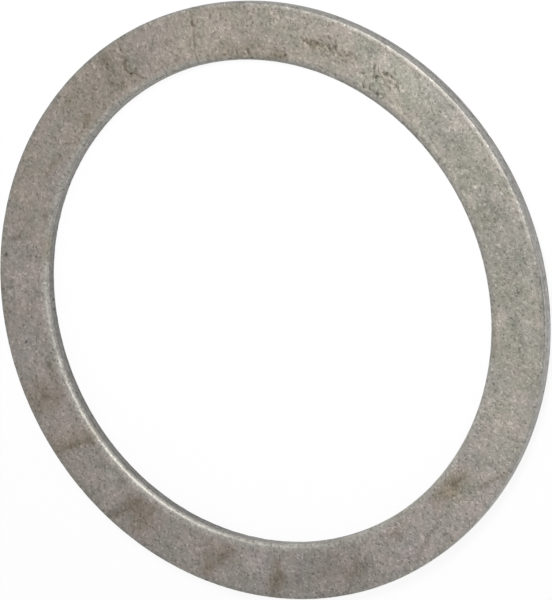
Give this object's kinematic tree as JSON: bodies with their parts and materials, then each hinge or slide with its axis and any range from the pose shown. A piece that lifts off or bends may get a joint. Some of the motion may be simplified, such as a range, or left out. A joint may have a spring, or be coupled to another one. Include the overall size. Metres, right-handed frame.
{
  "type": "shim ring",
  "caption": "Thin flat steel shim ring with a wide bore, blanked from sheet, with rolled front corners and sheared walls.",
  "frame": {"origin": "centre of the ring on the plane of its back face, which it lies on", "axes": "+Z along the bore's axis, from the back face towards the front face with the rolled corners; X and Y are alike"},
  "size_m": [0.0618, 0.0618, 0.0016],
  "materials": {
    "steel": "bare cold-rolled sheet, tumbled dull grey, lightly stained"
  },
  "bodies": {
    "root": {"shim_ring": "steel"}
  },
  "joints": []
}
